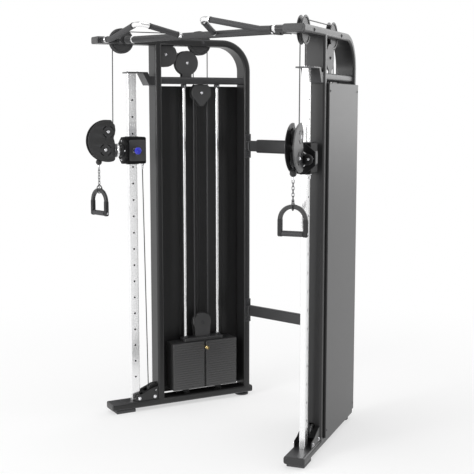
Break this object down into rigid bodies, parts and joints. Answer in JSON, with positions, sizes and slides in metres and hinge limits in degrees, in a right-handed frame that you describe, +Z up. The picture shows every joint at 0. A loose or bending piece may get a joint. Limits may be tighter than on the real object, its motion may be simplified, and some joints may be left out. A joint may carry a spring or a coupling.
{
  "type": "cable crossover machine",
  "caption": "Free-standing cable crossover machine: splayed pulley towers with weight stacks, sliding pulley carriages, D-shaped handles and a pull-up bar.",
  "frame": {"origin": "on the floor, in the middle of the machine's footprint", "axes": "+Z up; +X to the machine's right-hand tower; +Y from the exercise side towards the weight stacks; the front posts are 1.218 m apart across X and each tower turns 20.5 degrees about Z so that the fronts spread"},
  "size_m": [1.6311, 1.1025, 2.3368],
  "materials": {
    "powder_coat": "charcoal textured powder coat",
    "panel_coat": "charcoal fine-textured powder coat",
    "chrome": "polished chrome plate",
    "black_plastic": "moulded black nylon, matt",
    "black_rubber": "matt black rubber",
    "blue_plastic": "blue moulded knob, satin",
    "black_steel": "black painted steel, semi-matt",
    "brass": "polished brass"
  },
  "bodies": {
    "frame": {"left_side_frame": "powder_coat", "left_shroud": "panel_coat", "left_column": "chrome", "left_base_pulley_bracket": "black_steel", "left_front_guide_rod": "chrome", "left_rear_guide_rod": "chrome", "left_front_foot": "black_rubber", "left_rear_foot": "black_rubber", "left_resting_plates": "black_steel", "left_drop_cable": "black_plastic", "right_side_frame": "powder_coat", "right_shroud": "panel_coat", "right_column": "chrome", "right_base_pulley_bracket": "black_steel", "right_front_guide_rod": "chrome", "right_rear_guide_rod": "chrome", "right_front_foot": "black_rubber", "right_rear_foot": "black_rubber", "right_resting_plates": "black_steel", "right_drop_cable": "black_plastic", "pull_up_bar": "powder_coat", "upper_crossbar": "powder_coat", "lower_crossbar": "powder_coat"},
    "left_carriage": {"left_carriage": "black_plastic"},
    "left_pop_pin": {"left_pop_pin": "blue_plastic"},
    "left_housing": {"left_pulley_housing": "black_plastic"},
    "left_housing_upper_pulley": {"left_housing_upper_pulley": "black_plastic"},
    "left_housing_lower_pulley": {"left_housing_lower_pulley": "black_plastic"},
    "left_cable_end": {"left_cable_end": "black_rubber"},
    "left_handle": {"left_handle_strap": "black_plastic"},
    "left_grip": {"left_handle_grip": "black_rubber"},
    "left_lifted_stack": {"left_lifted_plates": "black_steel", "left_lifting_head": "black_steel"},
    "left_selector_pin": {"left_selector_pin": "brass"},
    "left_stack_pulley": {"left_stack_pulley": "black_plastic"},
    "left_front_top_pulley": {"left_front_top_pulley": "black_plastic"},
    "left_rear_top_pulley": {"left_rear_top_pulley": "black_plastic"},
    "left_overhead_pulley": {"left_overhead_pulley": "black_plastic"},
    "left_front_return_pulley": {"left_front_return_pulley": "black_plastic"},
    "left_rear_return_pulley": {"left_rear_return_pulley": "black_plastic"},
    "left_base_pulley": {"left_base_pulley": "black_plastic"},
    "right_carriage": {"right_carriage": "black_plastic"},
    "right_pop_pin": {"right_pop_pin": "blue_plastic"},
    "right_housing": {"right_pulley_housing": "black_plastic"},
    "right_housing_upper_pulley": {"right_housing_upper_pulley": "black_plastic"},
    "right_housing_lower_pulley": {"right_housing_lower_pulley": "black_plastic"},
    "right_cable_end": {"right_cable_end": "black_rubber"},
    "right_handle": {"right_handle_strap": "black_plastic"},
    "right_grip": {"right_handle_grip": "black_rubber"},
    "right_lifted_stack": {"right_lifted_plates": "black_steel", "right_lifting_head": "black_steel"},
    "right_selector_pin": {"right_selector_pin": "brass"},
    "right_stack_pulley": {"right_stack_pulley": "black_plastic"},
    "right_front_top_pulley": {"right_front_top_pulley": "black_plastic"},
    "right_rear_top_pulley": {"right_rear_top_pulley": "black_plastic"},
    "right_overhead_pulley": {"right_overhead_pulley": "black_plastic"},
    "right_front_return_pulley": {"right_front_return_pulley": "black_plastic"},
    "right_rear_return_pulley": {"right_rear_return_pulley": "black_plastic"},
    "right_base_pulley": {"right_base_pulley": "black_plastic"}
  },
  "joints": [
    {"name": "left_carriage_slide", "type": "slide", "parent": "frame", "child": "left_carriage", "axis": [0, 0, 1], "range_m": [-1.1, 0.3], "deforming": ["left_drop_cable"]},
    {"name": "left_pop_pin_pull", "type": "slide", "parent": "left_carriage", "child": "left_pop_pin", "axis": [0.9367, -0.3502, 0], "range_m": [-0.008, 0.006]},
    {"name": "left_housing_swivel", "type": "hinge", "parent": "left_carriage", "child": "left_housing", "pos_m": [-0.69305, -0.2898, 1.614], "axis": [0.3502, 0.9367, 0], "range_deg": [-60, 60]},
    {"name": "left_stack_lift", "type": "slide", "parent": "frame", "child": "left_lifted_stack", "axis": [0, 0, 1], "range_m": [0, 0.25]},
    {"name": "left_selector_pin_pull", "type": "slide", "parent": "left_lifted_stack", "child": "left_selector_pin", "axis": [0.9367, -0.3502, 0], "range_m": [0, 0.07]},
    {"name": "left_handle_pull", "type": "slide", "parent": "left_housing", "child": "left_cable_end", "axis": [0, 0, -1], "range_m": [0, 1]},
    {"name": "left_handle_swing", "type": "hinge", "parent": "left_cable_end", "child": "left_handle", "pos_m": [-0.73788, -0.40969, 1.382], "axis": [0.9954, -0.0958, 0], "range_deg": [-60, 60]},
    {"name": "left_grip_spin", "type": "hinge", "parent": "left_handle", "child": "left_grip", "pos_m": [-0.73788, -0.40969, 1.245], "axis": [0.9954, -0.0958, 0], "continuous": true},
    {"name": "left_housing_upper_pulley_spin", "type": "hinge", "parent": "left_housing", "child": "left_housing_upper_pulley", "pos_m": [-0.71862, -0.35818, 1.727], "axis": [-0.9367, 0.3502, 0], "range_deg": [-1, 1571]},
    {"name": "left_housing_lower_pulley_spin", "type": "hinge", "parent": "left_housing", "child": "left_housing_lower_pulley", "pos_m": [-0.72509, -0.37551, 1.62], "axis": [-0.9367, 0.3502, 0], "range_deg": [-1571, 1]},
    {"name": "left_front_top_pulley_spin", "type": "hinge", "parent": "frame", "child": "left_front_top_pulley", "pos_m": [-0.68464, -0.26732, 2.261], "axis": [-0.9367, 0.3502, 0], "range_deg": [-1043, 1]},
    {"name": "left_rear_top_pulley_spin", "type": "hinge", "parent": "frame", "child": "left_rear_top_pulley", "pos_m": [-0.50569, 0.21132, 2.261], "axis": [-0.9367, 0.3502, 0], "range_deg": [-1043, 1]},
    {"name": "left_overhead_pulley_spin", "type": "hinge", "parent": "frame", "child": "left_overhead_pulley", "pos_m": [-0.50289, 0.21881, 1.959], "axis": [-0.9367, 0.3502, 0], "range_deg": [-624, 1]},
    {"name": "left_stack_pulley_spin", "type": "hinge", "parent": "left_lifted_stack", "child": "left_stack_pulley", "pos_m": [-0.50289, 0.21881, 0.512], "axis": [-0.9367, 0.3502, 0], "range_deg": [-936, 1]},
    {"name": "left_front_return_pulley_spin", "type": "hinge", "parent": "frame", "child": "left_front_return_pulley", "pos_m": [-0.58694, -0.00599, 2.187], "axis": [-0.9367, 0.3502, 0], "range_deg": [-314, 1147]},
    {"name": "left_rear_return_pulley_spin", "type": "hinge", "parent": "frame", "child": "left_rear_return_pulley", "pos_m": [-0.53721, 0.12702, 2.139], "axis": [-0.9367, 0.3502, 0], "range_deg": [-314, 1147]},
    {"name": "left_base_pulley_spin", "type": "hinge", "parent": "frame", "child": "left_base_pulley", "pos_m": [-0.62196, -0.09966, 0.122], "axis": [-0.9367, 0.3502, 0], "range_deg": [-1467, 401]},
    {"name": "right_carriage_slide", "type": "slide", "parent": "frame", "child": "right_carriage", "axis": [0, 0, 1], "range_m": [-1.1, 0.3], "deforming": ["right_drop_cable"]},
    {"name": "right_pop_pin_pull", "type": "slide", "parent": "right_carriage", "child": "right_pop_pin", "axis": [-0.9367, -0.3502, 0], "range_m": [-0.008, 0.006]},
    {"name": "right_housing_swivel", "type": "hinge", "parent": "right_carriage", "child": "right_housing", "pos_m": [0.69305, -0.2898, 1.614], "axis": [-0.3502, 0.9367, 0], "range_deg": [-60, 60]},
    {"name": "right_stack_lift", "type": "slide", "parent": "frame", "child": "right_lifted_stack", "axis": [0, 0, 1], "range_m": [0, 0.25]},
    {"name": "right_selector_pin_pull", "type": "slide", "parent": "right_lifted_stack", "child": "right_selector_pin", "axis": [-0.9367, -0.3502, 0], "range_m": [0, 0.07]},
    {"name": "right_handle_pull", "type": "slide", "parent": "right_housing", "child": "right_cable_end", "axis": [0, 0, -1], "range_m": [0, 1]},
    {"name": "right_handle_swing", "type": "hinge", "parent": "right_cable_end", "child": "right_handle", "pos_m": [0.73788, -0.40969, 1.382], "axis": [0.9367, 0.3502, 0], "range_deg": [-60, 60]},
    {"name": "right_grip_spin", "type": "hinge", "parent": "right_handle", "child": "right_grip", "pos_m": [0.73788, -0.40969, 1.245], "axis": [0.9367, 0.3502, 0], "continuous": true},
    {"name": "right_housing_upper_pulley_spin", "type": "hinge", "parent": "right_housing", "child": "right_housing_upper_pulley", "pos_m": [0.71862, -0.35818, 1.727], "axis": [0.9367, 0.3502, 0], "range_deg": [-1571, 1]},
    {"name": "right_housing_lower_pulley_spin", "type": "hinge", "parent": "right_housing", "child": "right_housing_lower_pulley", "pos_m": [0.72509, -0.37551, 1.62], "axis": [0.9367, 0.3502, 0], "range_deg": [-1, 1571]},
    {"name": "right_front_top_pulley_spin", "type": "hinge", "parent": "frame", "child": "right_front_top_pulley", "pos_m": [0.68464, -0.26732, 2.261], "axis": [0.9367, 0.3502, 0], "range_deg": [-1, 1043]},
    {"name": "right_rear_top_pulley_spin", "type": "hinge", "parent": "frame", "child": "right_rear_top_pulley", "pos_m": [0.50569, 0.21132, 2.261], "axis": [0.9367, 0.3502, 0], "range_deg": [-1, 1043]},
    {"name": "right_overhead_pulley_spin", "type": "hinge", "parent": "frame", "child": "right_overhead_pulley", "pos_m": [0.50289, 0.21881, 1.959], "axis": [0.9367, 0.3502, 0], "range_deg": [-1, 624]},
    {"name": "right_stack_pulley_spin", "type": "hinge", "parent": "right_lifted_stack", "child": "right_stack_pulley", "pos_m": [0.50289, 0.21881, 0.512], "axis": [0.9367, 0.3502, 0], "range_deg": [-1, 936]},
    {"name": "right_front_return_pulley_spin", "type": "hinge", "parent": "frame", "child": "right_front_return_pulley", "pos_m": [0.58694, -0.00599, 2.187], "axis": [0.9367, 0.3502, 0], "range_deg": [-1147, 314]},
    {"name": "right_rear_return_pulley_spin", "type": "hinge", "parent": "frame", "child": "right_rear_return_pulley", "pos_m": [0.53721, 0.12702, 2.139], "axis": [0.9367, 0.3502, 0], "range_deg": [-1147, 314]},
    {"name": "right_base_pulley_spin", "type": "hinge", "parent": "frame", "child": "right_base_pulley", "pos_m": [0.62196, -0.09966, 0.122], "axis": [0.9367, 0.3502, 0], "range_deg": [-401, 1467]}
  ],
  "couplings": [
    {"joint": "left_handle_pull", "follows": "left_stack_lift", "ratio": 4},
    {"joint": "left_housing_upper_pulley_spin", "follows": "left_stack_lift", "rad_per_m": 109.59},
    {"joint": "left_housing_lower_pulley_spin", "follows": "left_stack_lift", "rad_per_m": -109.59},
    {"joint": "left_front_top_pulley_spin", "follows": "left_stack_lift", "rad_per_m": -72.727},
    {"joint": "left_rear_top_pulley_spin", "follows": "left_stack_lift", "rad_per_m": -72.727},
    {"joint": "left_overhead_pulley_spin", "follows": "left_stack_lift", "rad_per_m": -43.478},
    {"joint": "left_stack_pulley_spin", "follows": "left_stack_lift", "rad_per_m": -65.217},
    {"joint": "left_front_return_pulley_spin", "follows": "left_carriage_slide", "rad_per_m": -18.182},
    {"joint": "left_rear_return_pulley_spin", "follows": "left_carriage_slide", "rad_per_m": -18.182},
    {"joint": "left_base_pulley_spin", "follows": "left_carriage_slide", "rad_per_m": 23.256},
    {"joint": "right_handle_pull", "follows": "right_stack_lift", "ratio": 4},
    {"joint": "right_housing_upper_pulley_spin", "follows": "right_stack_lift", "rad_per_m": -109.59},
    {"joint": "right_housing_lower_pulley_spin", "follows": "right_stack_lift", "rad_per_m": 109.59},
    {"joint": "right_front_top_pulley_spin", "follows": "right_stack_lift", "rad_per_m": 72.727},
    {"joint": "right_rear_top_pulley_spin", "follows": "right_stack_lift", "rad_per_m": 72.727},
    {"joint": "right_overhead_pulley_spin", "follows": "right_stack_lift", "rad_per_m": 43.478},
    {"joint": "right_stack_pulley_spin", "follows": "right_stack_lift", "rad_per_m": 65.217},
    {"joint": "right_front_return_pulley_spin", "follows": "right_carriage_slide", "rad_per_m": 18.182},
    {"joint": "right_rear_return_pulley_spin", "follows": "right_carriage_slide", "rad_per_m": 18.182},
    {"joint": "right_base_pulley_spin", "follows": "right_carriage_slide", "rad_per_m": -23.256}
  ]
}
